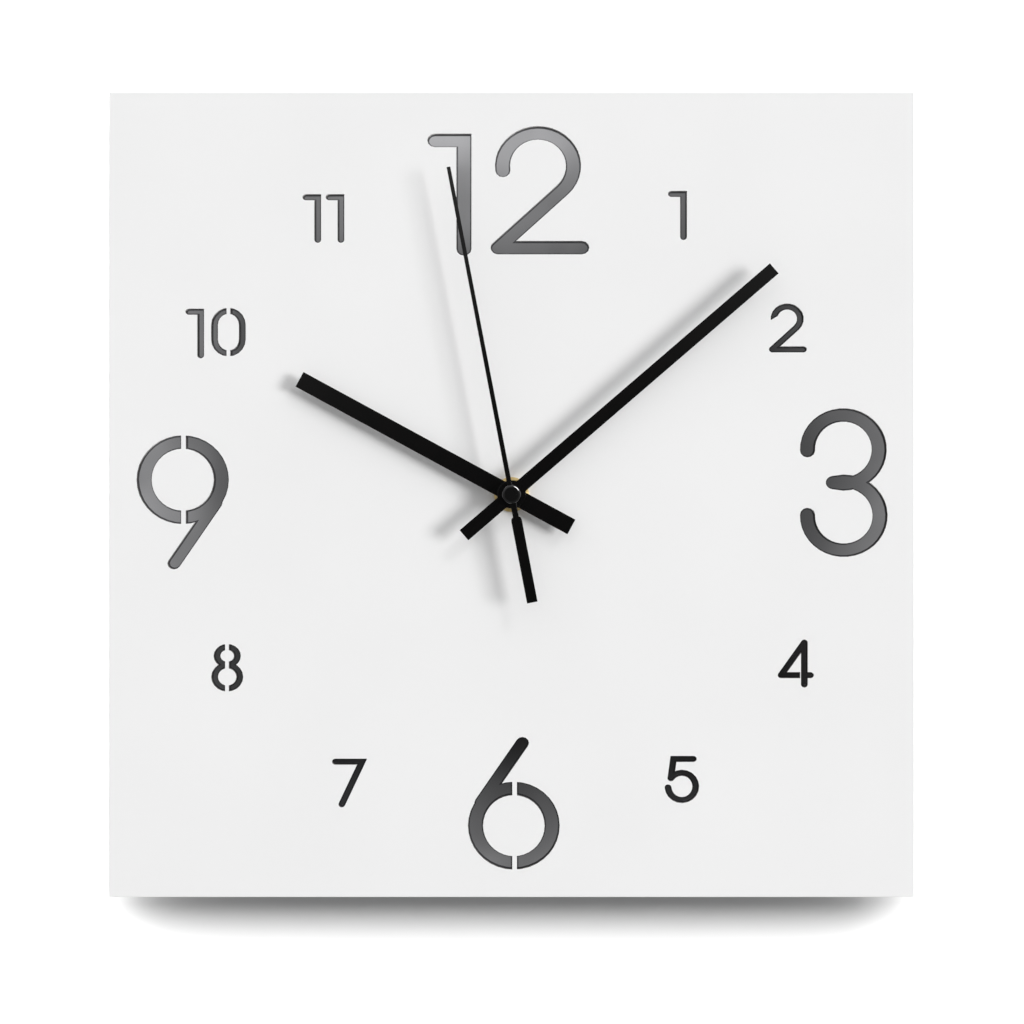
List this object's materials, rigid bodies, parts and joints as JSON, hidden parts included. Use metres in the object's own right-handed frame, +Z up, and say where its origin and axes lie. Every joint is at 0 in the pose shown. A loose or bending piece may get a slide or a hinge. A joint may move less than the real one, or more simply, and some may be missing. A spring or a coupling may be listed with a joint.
{
  "type": "wall clock",
  "caption": "Square wall clock: a white panel with numerals cut through it over a dark mirror sheet, black bar hands and a quartz movement on the back.",
  "frame": {"origin": "the axis of the hands where it meets the wall, on the rear face of the rear cover", "axes": "+Z up, +Y into the wall, +X to the right of someone who reads the dial, which faces -Y"},
  "size_m": [0.3, 0.0358, 0.3],
  "materials": {
    "satin_white_board": "satin",
    "dark_mirror": "polished",
    "satin_black_paint": "satin",
    "gloss_black": "gloss",
    "brass": "satin",
    "rubber": "matte",
    "black_case_plastic": "matte",
    "white_acetal": "satin",
    "steel": "plain",
    "magnet": "matte",
    "enamelled_copper": "enamelled",
    "board_green": "lacquered",
    "black_resin": "cast",
    "nickel_plate": "plated",
    "cell_sleeve": "satin"
  },
  "bodies": {
    "clock": {"front_panel": "satin_white_board", "mirror_backing": "dark_mirror", "rubber_washer": "rubber", "brass_washer": "brass", "dial_nut": "brass", "threaded_bush": "brass", "case_front": "black_case_plastic", "case_back": "black_case_plastic", "middle_plate": "white_acetal", "stator": "steel", "coil_core": "steel", "coil_bobbin": "black_case_plastic", "coil_winding": "enamelled_copper", "circuit_board": "board_green", "timing_chip": "black_resin", "quartz_crystal": "nickel_plate", "battery": "cell_sleeve", "battery_contact_plus": "nickel_plate", "battery_contact_minus": "nickel_plate", "hanger_loop": "black_case_plastic"},
    "seconds": {"seconds_wheel": "white_acetal", "second_hand": "satin_black_paint", "second_hand_collet": "steel", "second_hand_cap": "gloss_black"},
    "minutes": {"cannon_pinion": "brass", "minute_hand": "satin_black_paint", "minute_hand_collet": "satin_black_paint"},
    "hours": {"hour_wheel": "white_acetal", "hour_hand": "satin_black_paint", "hour_hand_collet": "satin_black_paint"},
    "centre": {"centre_wheel": "white_acetal", "clutch_spring": "steel"},
    "motion": {"motion_wheel": "white_acetal", "setting_knob": "white_acetal"},
    "third": {"third_wheel": "white_acetal"},
    "intermediate": {"intermediate_wheel": "white_acetal"},
    "rotor": {"rotor": "magnet"}
  },
  "joints": [
    {"name": "seconds_turn", "type": "hinge", "parent": "clock", "child": "seconds", "pos_m": [0, -0.02, 0], "axis": [0, 1, 0], "continuous": true},
    {"name": "intermediate_turn", "type": "hinge", "parent": "clock", "child": "intermediate", "pos_m": [-0.00125, -0.004, 0.00709], "axis": [0, 1, 0], "continuous": true},
    {"name": "rotor_turn", "type": "hinge", "parent": "clock", "child": "rotor", "pos_m": [-0.00125, -0.005, 0.01409], "axis": [0, 1, 0], "continuous": true},
    {"name": "third_turn", "type": "hinge", "parent": "clock", "child": "third", "pos_m": [0.00779, -0.008, 0.0045], "axis": [0, 1, 0], "continuous": true},
    {"name": "centre_turn", "type": "hinge", "parent": "clock", "child": "centre", "pos_m": [0, -0.01, 0], "axis": [0, 1, 0], "continuous": true},
    {"name": "minutes_turn", "type": "hinge", "parent": "clock", "child": "minutes", "pos_m": [0, -0.02, 0], "axis": [0, 1, 0], "continuous": true},
    {"name": "motion_turn", "type": "hinge", "parent": "clock", "child": "motion", "pos_m": [-0.00945, -0.008, 0.00167], "axis": [0, 1, 0], "continuous": true},
    {"name": "hours_turn", "type": "hinge", "parent": "clock", "child": "hours", "pos_m": [0, -0.02, 0], "axis": [0, 1, 0], "continuous": true}
  ],
  "couplings": [
    {"joint": "intermediate_turn", "follows": "seconds_turn", "ratio": -5},
    {"joint": "rotor_turn", "follows": "seconds_turn", "ratio": 30},
    {"joint": "third_turn", "follows": "seconds_turn", "ratio": -0.13333},
    {"joint": "centre_turn", "follows": "seconds_turn", "ratio": 0.016667},
    {"joint": "motion_turn", "follows": "minutes_turn", "ratio": -0.33333},
    {"joint": "hours_turn", "follows": "minutes_turn", "ratio": 0.083333}
  ]
}
